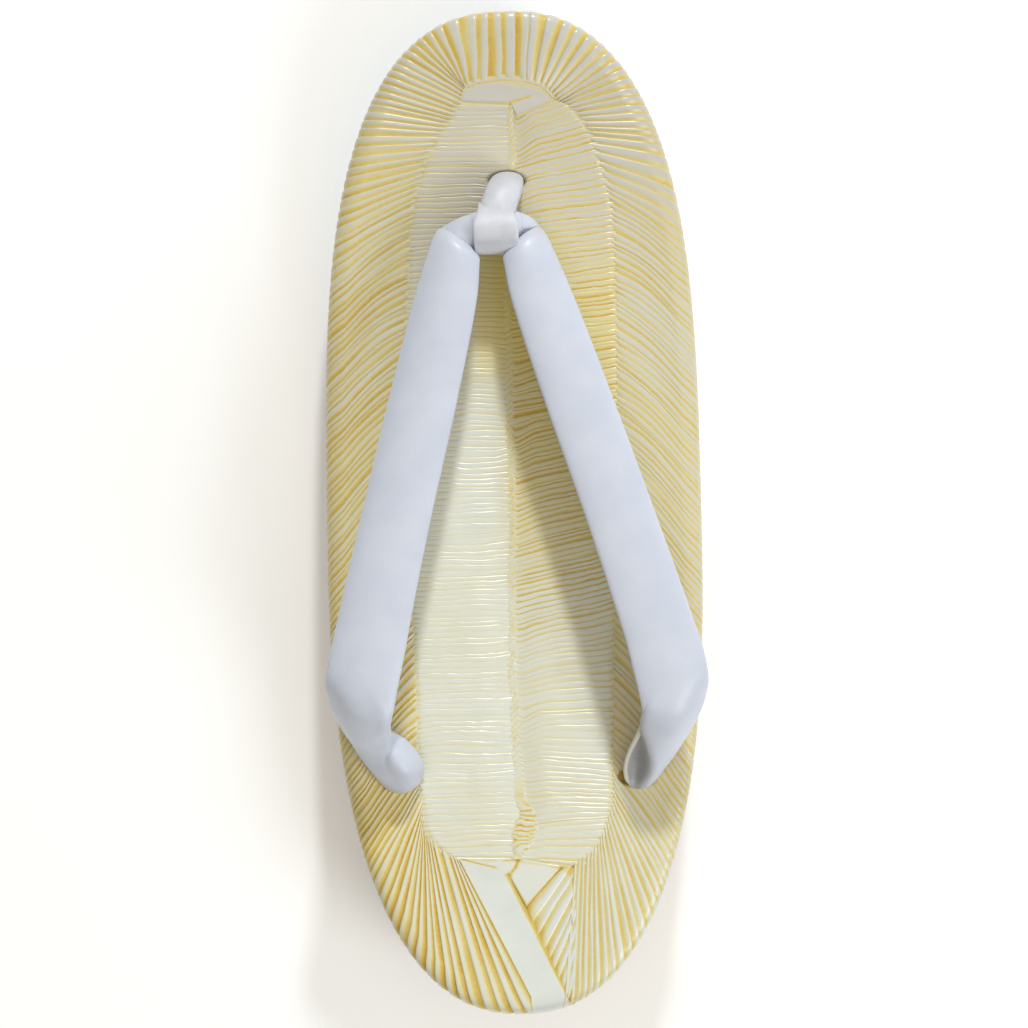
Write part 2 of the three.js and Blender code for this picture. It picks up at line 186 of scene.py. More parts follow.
def bell(off, width):
    return np.exp(-((off / width) ** 2))


def travelled(points):
    """Distance gone along a line of points."""
    return np.concatenate([[0], np.cumsum(np.linalg.norm(np.diff(points, axis=0), axis=1))])


def unit(v):
    return v / np.maximum(np.linalg.norm(v, axis=-1, keepdims=True), 1e-9)


def stacked(*parts):
    """Coordinates or tints put side by side, after they are spread to one shape."""
    return np.stack(np.broadcast_arrays(*parts), -1)


def step(low, high, at):
    t = np.clip((at - low) / (high - low), 0, 1)
    return t * t * (3 - 2 * t)


def underside(y):
    return TOE_SPRING * np.clip(1 - (LENGTH / 2 - y) / SPRING_LENGTH, 0, None) ** 2


def board_top(y):
    return underside(y) + smooth(STACK_FROM_TOE, STACK_HEIGHT, LENGTH / 2 - np.asarray(y, float))


def board_under(y):
    return board_top(y) - FOOTBED_THICK


# Repeatable noise: smooth values between -1 and 1 on a lattice
def hashed(ix, iy, seed):
    value = np.sin(ix * 127.1 + iy * 311.7 + seed * 74.7) * 43758.5453
    return value - np.floor(value)


def noise(x, y, seed=0):
    x, y = np.broadcast_arrays(np.asarray(x, float), np.asarray(y, float))
    ix, iy = np.floor(x), np.floor(y)
    fx, fy = x - ix, y - iy
    fx, fy = fx * fx * (3 - 2 * fx), fy * fy * (3 - 2 * fy)
    a, b = hashed(ix, iy, seed), hashed(ix + 1, iy, seed)
    c, d = hashed(ix, iy + 1, seed), hashed(ix + 1, iy + 1, seed)
    return 2 * (a + (b - a) * fx + (c - a) * fy + (a - b - c + d) * fx * fy) - 1


# Outline by distance from the toe tip, right positive
turn = np.linspace(math.pi / 2, -math.pi / 2, 6001)
front = turn > 0
half_x = HALF_WIDTH * np.abs(np.cos(turn)) ** (2 / np.where(front, FRONT_ACROSS, REAR_ACROSS))
reach = np.where(front, WIDEST_FROM_TOE, LENGTH - WIDEST_FROM_TOE)
half_y = np.sign(turn) * reach * np.abs(np.sin(turn)) ** (2 / np.where(front, FRONT_ALONG, REAR_ALONG))
half_y += LENGTH / 2 - WIDEST_FROM_TOE
half_x[[0, -1]] = 0
half_arc = travelled(stacked(half_x, half_y))
HALF_ARC = half_arc[-1]


def track(s):
    """Point of the outline."""
    s = (np.asarray(s, float) + HALF_ARC) % (2 * HALF_ARC) - HALF_ARC
    x, y = (np.interp(np.abs(s), half_arc, half) for half in (half_x, half_y))
    return np.where(s < 0, -x, x), y


def outline(s, reach=1.5):
    """Point of the outline and its outward direction, taken over a short reach."""
    x, y = track(s)
    (bx, by), (ex, ey) = track(s - reach), track(s + reach)
    size = np.hypot(ex - bx, ey - by)
    return x, y, (by - ey) / size, (ex - bx) / size


# Meshes
def linked(name, data):
    made = bpy.data.objects.new(name, data)
    bpy.context.scene.collection.objects.link(made)
    return made


class Skin:
    """Grids of points collected into one mesh, with a tint (three numbers) at every point."""

    def __init__(self):
        self.points, self.faces, self.tints, self.count = [], [], [], 0

    def grid(self, points, tint=(0, 0, 0), wrap=False, flip=False):
        rows, columns, _ = points.shape
        ids = self.count + np.arange(rows * columns).reshape(rows, columns)
        if wrap:
            ids = np.hstack([ids, ids[:, :1]])
        quads = stacked(ids[:-1, :-1], ids[1:, :-1], ids[1:, 1:], ids[:-1, 1:]).reshape(-1, 4)
        self.faces.append(quads[:, ::-1] if flip else quads)
        self.points.append(points.reshape(-1, 3))
        self.tints.append(np.broadcast_to(tint, points.shape).reshape(-1, 3))
        self.count += rows * columns
        return self

    def tube(self, points, tint=(0, 0, 0), end_tint=(0, 0, 0), flip=False):
        """A grid wrapped round, with a fan to close each end."""
        self.grid(points, tint, wrap=True, flip=flip)
        for ring, turned in ((points[0], not flip), (points[-1], flip)):
            fan = np.stack([ring, np.broadcast_to(ring.mean(axis=0), ring.shape)])
            self.grid(fan, end_tint, wrap=True, flip=turned)
        return self

    def piece(self, name, material, weld):
        """One object, with points that lie closer than the weld merged."""
        points = np.concatenate(self.points) * MM
        faces = np.concatenate(self.faces)
        mesh = bpy.data.meshes.new(name)
        mesh.vertices.add(len(points))
        mesh.vertices.foreach_set("co", points.ravel())
        mesh.loops.add(faces.size)
        mesh.loops.foreach_set("vertex_index", faces.ravel().astype(np.int32))
        mesh.polygons.add(len(faces))
        mesh.polygons.foreach_set("loop_start", np.arange(0, faces.size, 4, dtype=np.int32))
        mesh.update(calc_edges=True)
        tint = mesh.color_attributes.new("tint", "FLOAT_COLOR", "POINT")
        colours = np.concatenate(self.tints)
        tint.data.foreach_set("color", np.hstack([colours, np.ones((len(colours), 1))]).ravel())
        mesh.validate()
        edit = bmesh.new()
        edit.from_mesh(mesh)
        bmesh.ops.remove_doubles(edit, verts=edit.verts, dist=weld * MM)
        edit.to_mesh(mesh)
        edit.free()
        mesh.shade_smooth()
        mesh.materials.append(material)
        return linked(name, mesh)


def place(piece, node):
    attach(piece, "root")
    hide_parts(node)
    return piece


# Materials
class Graph:
    """A material's nodes, made and linked in one call each."""

    def __init__(self, name):
        self.material = bpy.data.materials.new(name)
        self.material.use_nodes = True
        self.tree = self.material.node_tree
        self.shader = self.tree.nodes["Principled BSDF"]

    def feed(self, socket, value):
        if isinstance(value, bpy.types.NodeSocket):
            self.tree.links.new(value, socket)
        else:
            socket.default_value = value

    def node(self, kind, inputs=(), **settings):
        made = self.tree.nodes.new("ShaderNode" + kind)
        for key, value in settings.items():
            setattr(made, key, value)
        for key, value in dict(inputs).items():
            self.feed(made.inputs[key], value)
        return made

    def set(self, **values):
        for key, value in values.items():
            self.feed(self.shader.inputs[key.replace("_", " ")], value)

    def place(self):
        return self.node("TexCoord").outputs["Object"]

    def parts(self, colour):
        return self.node("SeparateColor", {"Color": colour}).outputs

    def tint(self):
        return self.parts(self.node("Attribute", attribute_name="tint").outputs["Color"])

    def noise(self, size, detail=2, rough=0.5):
        inputs = {"Vector": self.place(), "Scale": 1 / (size * MM), "Detail": detail, "Roughness": rough}
        return self.node("TexNoise", inputs).outputs["Fac"]

    def cells(self, size, feature="F1", output="Distance", vector=None):
        inputs = {"Vector": vector or self.place(), "Scale": 1 / (size * MM)}
        return self.node("TexVoronoi", inputs, feature=feature).outputs[output]

    def ramp(self, value, low, high, to_low=0, to_high=1):
        inputs = {"Value": value, "From Min": low, "From Max": high, "To Min": to_low, "To Max": to_high}
        return self.node("MapRange", inputs, clamp=True).outputs["Result"]

    def math(self, kind, a, b=0):
        return self.node("Math", {0: a, 1: b}, operation=kind).outputs["Value"]

    def times(self, a, b):
        return self.math("MULTIPLY", a, b)

    def vector(self, kind, a, b):
        return self.node("VectorMath", {0: a, 1: b}, operation=kind).outputs[0]

    def mix(self, share, a, b):
        return self.node("Mix", {"Factor": share, 6: a, 7: b}, data_type="RGBA").outputs[2]

    def mottle(self, size, detail, low, high, a, b):
        """Two colours in soft patches of a given size."""
        return self.mix(self.ramp(self.noise(size, detail), low, high), srgb(*a), srgb(*b))

    def coated(self, colour, *coats):
        """A colour under coats of others: the share of each, and its red, green and blue."""
        for share, *coat in coats:
            colour = self.mix(share, colour, srgb(*coat))
        return colour

    def bump(self, height, distance, strength, under=None):
        inputs = {"Height": height, "Distance": distance * MM, "Strength": strength}
        if under is not None:
            inputs["Normal"] = under
        return self.node("Bump", inputs).outputs["Normal"]


def srgb(red, green, blue):
    def linear(value):
        value /= 255
        return value / 12.92 if value <= 0.04045 else ((value + 0.055) / 1.055) ** 2.4
    return (linear(red), linear(green), linear(blue), 1)


def vinyl_material():
    g = Graph("pleated_vinyl")
    tint = g.tint()
    cream = g.mottle(6, 3, 0.35, 0.7, (227, 231, 227), (221, 226, 222))
    straw = (226, 209, 130)
    ochre = g.mottle(3.5, 2, 0.3, 0.7, (200, 157, 38), (212, 171, 58))
    broken = g.ramp(g.noise(0.9, 2), 0.25, 0.6, 0.8, 1)
    share = g.times(tint["Red"], broken)
    washed = (g.ramp(share, 0, 0.5), *straw)
    # Blue greys the cream, partly painted shade; green is a straw wash, partly painted shade.
    colour = g.coated(cream, (tint["Blue"], 202, 200, 197), (tint["Green"], *straw), washed)
    g.set(Base_Color=g.mix(g.ramp(share, 0.3, 1), colour, ochre))
    g.set(Roughness=g.ramp(tint["Red"], 0, 0.8, 0.3, 0.5))
    g.set(Coat_Weight=0.28, Coat_Roughness=0.2, Specular_IOR_Level=0.5)
    g.set(Normal=g.bump(g.noise(0.5, 3), 0.04, 0.4))
    return g.material


def strap_material():
    g = Graph("strap_vinyl")
    tint = g.tint()
    face = g.mottle(9, 2, 0.35, 0.65, (213, 218, 234), (207, 213, 230))
    lining = g.mottle(0.6, 3, 0.3, 0.7, (176, 176, 178), (192, 192, 194))
    colour = g.mix(tint["Red"], face, lining)
    # Green lightens the cut edges; blue darkens the seam, and as painted shade the right end's hollow.
    colour = g.coated(colour, (tint["Green"], 221, 219, 212), (tint["Blue"], 120, 122, 132))
    g.set(Base_Color=colour, Roughness=0.5, Coat_Weight=0.3, Coat_Roughness=0.3)
    grain = g.bump(g.cells(0.45), 0.06, 0.35)
    g.set(Normal=g.bump(g.noise(0.25, 2), 0.03, 0.4, grain))
    return g.material


def loop_material():
    g = Graph("loop_vinyl")
    colour = g.mottle(3, 2, 0.35, 0.65, (217, 219, 229), (209, 211, 222))
    colour = g.coated(colour, (g.tint()["Blue"], 150, 152, 160))
    g.set(Base_Color=colour, Roughness=0.48, Coat_Weight=0.12, Coat_Roughness=0.4)
    g.set(Normal=g.bump(g.noise(0.5, 2), 0.03, 0.3))
    return g.material


def cork_material():
    g = Graph("cork")
    wander = g.noise(4, 2)
    shift = {0: g.times(wander, 0.002), 1: g.times(wander, 0.0015), 2: 0}
    spread = g.vector("ADD", g.place(), g.node("CombineXYZ", shift).outputs[0])
    squeezed = g.vector("MULTIPLY", spread, (1, 0.8, 1.15))
    grain = g.parts(g.cells(4.6, output="Color", vector=squeezed))
    small = g.parts(g.cells(1.7, output="Color", vector=squeezed))
    edges = g.cells(4.6, feature="DISTANCE_TO_EDGE", vector=squeezed)
    faint = g.ramp(g.noise(2, 2), 0.4, 0.65)
    specks = g.ramp(g.cells(2.3, vector=squeezed), 0.12, 0.24, 1, 0)
    specks = g.times(specks, g.ramp(g.noise(3, 1), 0.52, 0.6))
    colour = g.coated(
        g.mix(grain["Red"], srgb(150, 111, 54), srgb(182, 144, 86)),
        (g.ramp(small["Green"], 0.3, 1, 0, 0.4), 146, 107, 52),
        (g.ramp(grain["Blue"], 0.8, 0.95, 0, 0.5), 194, 146, 98),
        (g.times(g.ramp(edges, 0, 0.1, 0.4, 0), faint), 118, 84, 40),
        (specks, 78, 52, 28),
        (g.ramp(g.noise(0.5, 4, 0.7), 0.35, 0.75, 0, 0.5), 132, 96, 46),
        (g.ramp(g.noise(0.9, 3), 0.55, 0.8, 0, 0.4), 196, 160, 104),
    )
    g.set(Base_Color=colour, Roughness=0.82, Specular_IOR_Level=0.3)
    joints = g.bump(g.ramp(edges, 0, 0.12), 0.1, 0.4)
    holes = g.bump(g.math("SUBTRACT", 1, specks), 0.35, 0.8, joints)
    g.set(Normal=g.bump(g.noise(0.5, 4, 0.65), 0.12, 0.6, holes))
    return g.material


def rubber_material():
    g = Graph("outsole_rubber")
    tint = g.tint()
    colour = g.mottle(20, 3, 0.35, 0.65, (178, 197, 210), (184, 201, 213))
    colour = g.coated(colour, (tint["Red"], 92, 124, 150), (tint["Green"], 206, 218, 226))
    specks = g.ramp(g.cells(5.5), 0.03, 0.06, 1, 0)
    specks = g.times(specks, g.ramp(g.noise(14, 1), 0.52, 0.6))
    scuff = g.ramp(g.noise(7, 5, 0.7), 0.56, 0.78, 0, 0.25)
    colour = g.coated(colour, (specks, 84, 92, 100), (scuff, 160, 176, 188))
    g.set(Base_Color=colour, Roughness=0.62, Specular_IOR_Level=0.4)
    g.set(Normal=g.bump(g.noise(0.35, 3), 0.05, 0.5))
    return g.material


def amber_material():
    g = Graph("amber_plate")
    inputs = {"Vector": g.place(), "Center": (PLATE_X * MM, PLATE_FRONT_Y * MM, 0), "Angle": -PLATE_TURN}
    turned = g.node("VectorRotate", inputs, rotation_type="Z_AXIS").outputs["Vector"]
    axes = g.node("SeparateXYZ", {"Vector": turned}).outputs
    across = g.times(axes["X"], 1 / MM)
    back = g.math("SUBTRACT", PLATE_FRONT_Y, g.times(axes["Y"], 1 / MM))
    pitches = ((across, 2.3), (back, 1.9))
    waves = [g.math("SINE", g.times(v, math.pi / pitch)) for v, pitch in pitches]
    dots = g.ramp(g.times(*waves), 0.1, 0.6)
    zone = g.times(g.ramp(back, 4, 6.5), g.ramp(back, 14.5, 16.5, 1, 0))
    dots = g.times(dots, zone)
    rule = g.ramp(g.math("ABSOLUTE", g.math("SUBTRACT", back, 17.6)), 0.2, 0.6, 0.3, 0)
    colour = g.mottle(5, 2, 0.35, 0.65, (218, 172, 44), (228, 184, 58))
    front = (g.ramp(back, 0, 8, 0.75, 0), 236, 208, 122)
    rear = (g.ramp(back, 27, 32, 0, 0.5), 236, 206, 112)
    printed = (g.times(dots, 0.45), 204, 148, 26)
    colour = g.coated(colour, front, rear, printed, (rule, 190, 136, 28))
    g.set(Base_Color=colour, Roughness=0.32, Coat_Weight=0.4, Coat_Roughness=0.12)
    g.set(Subsurface_Weight=0.25, Subsurface_Scale=0.002, Subsurface_Radius=(1, 0.6, 0.15))
    g.set(Normal=g.bump(g.noise(1.6, 2), 0.1, 0.35, g.bump(dots, 0.12, 0.4)))
    return g.material


def floor_material():
    g = Graph("floor")
    colour = g.mottle(120, 2, 0.3, 0.7, (247, 247, 247), (244, 244, 245))
    g.set(Base_Color=colour, Roughness=0.7, Emission_Color=(1, 1, 1, 1), Emission_Strength=0.22)
    return g.material


# Pleated cover of the footbed
PITS = (  # where the straps go down through the cover: x, y, half width, half depth
    (-0.2, 79.5, 4.1, 2.45),
    (-28, -64.5, 4.2, 1.7),
    (28, -64.5, 4.2, 1.7),
)
PIT_DEPTH = 4
SKIRT = 0.8  # how far the cover's cut edges turn down
BORDER_REACH = 24  # usual length of a border pleat on top
BORDER_BOW = 5.6
FACING_OTHER_WAY = 132  # number of the pleat at the toe from which the grooves lie on the other side
BORDER_SEED, WEDGE_SEED = 11, 31
VALLEY_DEPTH, VALLEY_WIDTH = 0.75, 4.5
# Rows that shape one pleat: a sharp edge at the start, a flat groove, a slow climb to the ridge
PLEAT_ROWS = (0, 0.06, 0.2, 0.36, 0.52, 0.68, 0.82, 0.94)


def pits(x, y):
    sunk = np.zeros(np.broadcast(x, y).shape)
    for px, py, wide, deep in PITS:
        off = np.sqrt(((x - px) / wide) ** 2 + ((y - py) / deep) ** 2)
        sunk = np.maximum(sunk, 1 - step(0.88, 1.12, off))
    return sunk * PIT_DEPTH


def pleat_rows(first, last):
    whole = np.arange(math.floor(first), math.ceil(last) + 1)
    rows = (whole[:, None] + np.array(PLEAT_ROWS)).ravel()
    rows = rows[(rows > first) & (rows < last)]
    return np.concatenate([[first], rows, [last]])


def pleats(count, along, seed, narrow, wide, flip=False, uneven=0.3):
    """Height (0 in a groove to 1 on a ridge) and share of ochre for pleats counted along a field."""
    flip = np.broadcast_to(flip, count.shape)
    pleat = np.where(flip, np.ceil(count - 1e-6) - 1, np.floor(count + 1e-6))
    phase = np.where(flip, pleat + 1 - count, count - pleat)
    groove = narrow + (wide - narrow) * hashed(pleat, 7, seed + 4)
    groove = np.clip(groove + 0.14 * noise(pleat * 1.37, along * 0.13, seed + 5), 0.12, 0.86)
    fade = np.clip(0.8 + 0.55 * noise(pleat * 1.71, along * 0.1, seed + 3), 0, 1)
    strength = (1 - uneven + uneven * hashed(pleat, 3, seed + 2)) * (0.45 + 0.55 * fade)
    rise = step(0.3 * groove, groove + 0.15, phase)
    drop = 1 - step(0.94, 1, phase)
    tall = 1 - (1 - rise * drop) * (0.4 + 0.6 * strength)
    ochre = strength * (1 - step(0.1 * groove, groove + 0.25, phase))
    return tall, ochre


def wander(count, along, seed, size=1):
    """Uneven spacing of pleats, and lines that waver along their length."""
    return size * (0.3 * noise(count * 0.9, 0 * along, seed) + 0.24 * noise(count * 0.5, along, seed + 1))


def border_skin():
    """Pleats that run from the centre field out over the rolled edge."""
    first, last = PLEAT_CHART[0][0], PLEAT_CHART[-1][0]
    n = pleat_rows(first, last)[:, None]
    roll = np.array(EDGE_ROLL)
    run = travelled(roll)[1:]
    heading = unit(np.gradient(roll, axis=0))
    u = np.concatenate([[-0.08, -0.04], np.linspace(0, 1, 25)])
    over = len(u)
    length = np.concatenate([u * BORDER_REACH, BORDER_REACH + run])
    loose = step(0, 3, n - first) * step(0, 3, last - n)
    row_y = charted(PLEAT_CHART, n)[1]
    ends = np.clip(step(70, 88, row_y) + step(-62, -74, row_y), 0, 1)
    at = n + loose * (1 - 0.8 * ends) * wander(n, length * 0.09, BORDER_SEED)
    inner_x, inner_y, edge = charted(PLEAT_CHART, at)
    ox, oy, nx, ny = outline(edge)
    shoulder = roll[0, 0]
    dx, dy = ox - nx * shoulder - inner_x, oy - ny * shoulder - inner_y
    bow = BORDER_BOW * step(85, 60, inner_y) * step(-72, -50, inner_y)
    gx = inner_x[:, :over] + dx[:, :over] * u
    gy = inner_y[:, :over] + dy[:, :over] * u + bow[:, :over] * np.clip(u * (1 - u), 0, None)
    along = np.hypot(dx[:, :over], dy[:, :over]) * u
    up = np.full(gx.shape, FOOTBED_THICK)
    out = np.broadcast_to((0, 0, 1), gx.shape + (3,))
    # Over the rolled edge the pleats keep their slant
    lean = np.clip((dx * ny - dy * nx) / np.maximum(dx * nx + dy * ny, 4), -1, 1)
    px, py, pnx, pny = outline(edge[:, over:] + lean[:, over:] * np.minimum(run, 7))
    (inset, height), (turn_in, turn_up) = roll[1:].T, heading[1:].T
    gx = np.hstack([gx, px - pnx * inset])
    gy = np.hstack([gy, py - pny * inset])
    up = np.hstack([up, np.broadcast_to(height, px.shape)])
    out = np.hstack([out, stacked(-turn_up * pnx, -turn_up * pny, -turn_in)])
    along = np.hstack([along, along[:, -1:] + run])
    n = np.broadcast_to(n, along.shape)
    strength, filled, base = charted(TONE_CHART, n)
    tall, ochre = pleats(n, along, BORDER_SEED, filled - 0.16, filled + 0.14, n > FACING_OTHER_WAY)
    size = (0.17 + 0.13 * ends) * (1 + 0.6 * bell(along, 1.6))
    lift = (tall - 1) * size - 0.3 * step(0.6, -1.8, along)
    lift = np.where(up < 0.2, 0, lift)
    gz = board_under(gy) + up - np.where(up > 4, pits(gx, gy), 0)
    points = stacked(gx, gy, gz) + out * lift[..., None]
    hem = step(0.9, 0.5, up)
    seam = bell(along, 0.9) * (1 - 0.8 * tall)
    ochre = np.maximum(np.clip(ochre * strength, 0, 1), 0.9 * seam) * (1 - hem)
    wash = np.clip(base + 0.14 * noise(n * 0.13, along * 0.06, 23) + 0.6 * hem, 0, 1)
    # The border's cream has a grey of its own; painted shade darkens it towards the toe and lightens it at
    # the heel, and it greys more down the right side.
    grey = 0.3 + 0.4 * step(60, 95, row_y) - 0.3 * step(-40, -75, row_y)
    grey = grey + 0.4 * step(120, 150, n) * step(245, 225, n)
    tint = stacked(ochre, wash, grey)
    points = np.concatenate([points[:1] - SKIRT * out[:1], points, points[-1:] - SKIRT * out[-1:]])
    return Skin().grid(points, np.concatenate([tint[:1], tint, tint[-1:]]))


def heel_band():
    """Plain heel band with a deep groove on its right: points and tint."""
    across = [-0.1, -0.05, 0, 0.03, 0.06, 0.1, 0.15, 0.3, 0.45, 0.6, 0.75, 0.88, 0.94, 0.97, 1]
    across = np.array(across)[:, None]
    edge, inner_x, inner_y = (right + (left - right) * across for right, left in zip(BAND_RIGHT, BAND_LEFT))
    ox, oy, nx, ny = outline(edge)
    inset, height = np.array(EDGE_ROLL).T
    u = np.linspace(0, 1, 40)
    gx = np.hstack([inner_x + (ox - nx * inset[0] - inner_x) * u, ox - nx * inset[1:]])
    gy = np.hstack([inner_y + (oy - ny * inset[0] - inner_y) * u, oy - ny * inset[1:]])
    up = np.concatenate([np.full(len(u), FOOTBED_THICK), height[1:]])
    groove = 1 - step(0, 0.12, across) + 2 * step(0, -0.1, across)
    dish = 0.28 * groove + 0.15 * np.sin(np.pi * np.clip(across, 0, 1)) ** 0.5
    sunk = np.where(up > 3, dish, 0) * step(0, 0.1, np.concatenate([u, np.ones(len(inset) - 1)]))
    wear = 0.8 + 0.2 * noise(gx * 0.3, gy * 0.3, 33)
    ochre = np.clip(0.95 * groove + 0.45 * step(0.94, 1, across), 0, 1) * wear
    return stacked(gx, gy, board_under(gy) + up - sunk), stacked(ochre, 0, 0)


def heel_wedge():
    """Short pleats that run down to the heel band: points and tint."""
    n = pleat_rows(WEDGE_CHART[0][0], WEDGE_CHART[-1][0])[:, None]
    u = np.concatenate([[-0.24, -0.16, -0.08], np.linspace(-0.04, 1, 18)])
    ax, ay, bx, by = charted(WEDGE_CHART, n + wander(n, u * 2, WEDGE_SEED, 0.6))
    gx, gy = ax + (bx - ax) * u, ay + (by - ay) * u
    along = np.hypot(bx - ax, by - ay) * u
    tall, ochre = pleats(np.broadcast_to(n, gx.shape), along, WEDGE_SEED, 0.35, 0.7)
    on = np.clip(u, 0, 1)
    lift = (tall - 1) * 0.28 - 0.3 * on ** 6
    lift = lift - 0.2 * step(1.2, -0.8, along) - 0.25 * step(-0.4, -2.4, along)
    ochre = np.clip(0.6 * ochre + 0.6 * on ** 8 + 0.4 * step(1, 0, along), 0, 1)
    return stacked(gx, gy, board_top(gy) + lift), stacked(ochre, 0, 0)


def heel_skin():
    return Skin().grid(*heel_band()).grid(*heel_wedge(), flip=True)


def valley(x, y):
    """The cover dips towards the spine."""
    off = x - charted(SPINE_CHART, y)[0]
    return VALLEY_DEPTH * bell(off, VALLEY_WIDTH) * step(-84, -72, y) * step(100, 90, y)


def field_end(side, y):
    """Where the field ends at the border, on the left (-1) or the right (1)."""
    return line(sorted((r[2], r[1]) for r in PLEAT_CHART if r[1] * side > 0), y)


def toe_grey_and_shade(y):
    """The cream greys and darkens towards the toe: partly a greyer tone of its own, partly painted shade."""
    return 0.08 + 0.85 * step(15, 85, y)


def field_half(side, front_y, pitch, relief, narrow, wide, uneven, change, seed):
    """Fine pleats from the spine out to the border: points and tint."""
    n = pleat_rows(0, FIELD_PLEATS)[:, None]
    share = np.linspace(0, 1, 34) ** 1.15
    start = front_y - pitch * (n + wander(n, share * 2.2, seed, 0.9))
    x0 = charted(SPINE_CHART, start)[0]
    slant = 4 * step(-30, 60, start) if side > 0 else 0
    x1 = field_end(side, start + slant) + 1.3 * side
    x = x0 + (x1 - x0) * share
    off = np.abs(x - x0)
    wave = 0.35 * noise(x * 0.11, start * 0.09, seed + 6) + 0.13 * noise(x * 0.5, start * 0.7, seed + 7)
    if side < 0:
        y = start + wave + 0.6 * step(4, 0, off) * noise(start * 0.15, 0, seed + 8)
    else:
        slope = np.tan(np.radians(charted(SLOPE_CHART, start)[0]))
        hook = 1.9 * step(0, 1.2, off) * step(6.5, 1.2, off)
        hook = hook * np.clip(0.5 + 0.7 * noise(start * 0.16, 0, seed + 8), 0, 1)
        y = start + slope * off - hook + wave
    foot, brow = line(FOOT, x), line(BROW, x)
    kept = ((y > foot) & (y < brow)).any(axis=1)
    kept[1:-1] |= kept[2:] | kept[:-2]
    tuck = step(0.9, 0, np.minimum(y - foot, brow - y))
    y = np.clip(y, foot, brow)
    n = np.broadcast_to(n, x.shape)
    tall, ochre = pleats(n, off * change, seed, narrow, wide, True, uneven)
    left, right = charted(FIELD_TONE_CHART, y)
    ochre = np.clip(ochre * (left if side < 0 else right), 0, 1)
    rim = np.abs(field_end(side, y) - x0) - off
    edge = step(1, -1.3, rim)
    size = relief * (1 + 0.8 * bell(rim, 1.6))
    lift = ((tall - 1) * size - 0.3 * edge) * (1 - tuck) - 0.3 * tuck
    seam = bell(rim, 0.9) * (1 - 0.8 * tall)
    ochre = np.maximum(np.maximum(ochre, 0.7 * seam), 0.4 * tuck)
    z = board_top(y) + lift - pits(x, y) - valley(x, y)
    wash = 0.12 + 0.08 * noise(n * 0.11, off * 0.1, seed + 9) + 0.2 * edge
    # Painted shade: more straw wash beside the right strap and under the knot, where their shadows fall.
    wash = wash + 0.5 * step(-30, 20, y) * step(75, 50, y) * step(-6, 4, x)
    wash = wash + 0.75 * step(26, 44, y) * step(70, 60, y) * step(-12, -6, x) * step(14, 8, x)
    return stacked(x, y, z)[kept], stacked(ochre, np.clip(wash, 0, 1), toe_grey_and_shade(y))[kept]


def spine_strip():
    """Ruffled strip down the spine, crumpled near the heel: points and tint."""
    y = np.arange(97.5, -83.6, -0.28)[:, None]
    q = np.linspace(-1, 1, 13)
    middle, half = charted(SPINE_CHART, y)
    half = 0.8 * half
    crumple = step(1.4, 2.6, half)
    sway = 0.35 * noise(y * 0.35, 0, 57) + 0.5 * step(1.6, 2.6, half) * noise(y * 0.9, 0, 58)
    x = middle + sway + half * q * (1 + 0.25 * noise(y * 0.5, q, 59))
    bend = (0.45 + 0.2 * noise(y * 0.2, 0, 60)) * q + (0.2 + 0.55 * crumple) * noise(x * 0.6, y * 0.5, 61)
    count = (100 - y) / (1.7 - 0.5 * crumple) + bend
    fold = 1 - np.abs(2 * (count - np.floor(count)) - 1)
    strong = 0.35 + 0.3 * noise(y * 0.23, 0, 63) + 0.35 * crumple
    ochre = 0.12 + 0.14 * noise(y * 0.4, q * 1.5, 65)
    ochre = np.clip(ochre + (0.9 * strong + 0.3 * crumple) * step(0.5, 0.1, fold), 0, 1)
    ochre = ochre * step(1, 0.7, np.abs(q))
    lift = (fold - 0.6) * (0.17 + 0.07 * crumple) + 0.06 + 0.16 * crumple
    lift = lift - (0.2 + 0.25 * crumple) * np.abs(q) ** 3
    z = board_top(y) + lift - valley(x, y) - pits(x, y)
    # Painted shade: more straw wash from y -30 forwards, and most under the knot, where the shadows fall.
    wash = 0.2 - 0.1 * crumple + 0.25 * step(-30, 10, y) + 0.45 * step(26, 44, y) * step(76, 64, y)
    return stacked(x, y, z), stacked(ochre, wash, toe_grey_and_shade(y))


def toe_patch():
    """Plain patch behind the toe pleats, with two thin lines along its top and a tuck: points and tint."""
    x = np.linspace(-11.6, 11.6, 90)[:, None]
    low = line(BROW, x) - 0.7
    high = line([r[1:3] for r in PLEAT_CHART if r[2] > 96 and abs(r[1]) < 13], x) + 0.8
    high = np.maximum(high, low + 0.3)
    y = low + (high - low) * np.linspace(0, 1, 30)
    tuck = bell(y - (98.1 + 0.28 * (x - 0.8)), 0.28) * step(0.2, 0.9, x) * step(6.6, 5.2, x)
    lines = bell(y - high + 1.5, 0.2) + 0.7 * bell(y - high + 2.3, 0.16) * step(-4, 2, x)
    lip = step(1.2, 0, y - low)
    ochre = np.clip(0.8 * lines + 0.9 * tuck + 0.5 * lip + 0.6 * step(0.9, 0.2, high - y), 0, 1)
    sunk = 0.15 * lines + 0.2 * tuck + 0.3 * lip + 0.3 * step(1.2, 0, high - y)
    z = board_top(y) - sunk + 0.05 * noise(x * 0.3, y * 0.4, 73)
    return stacked(x, y, z), stacked(ochre, 0.08, toe_grey_and_shade(y))


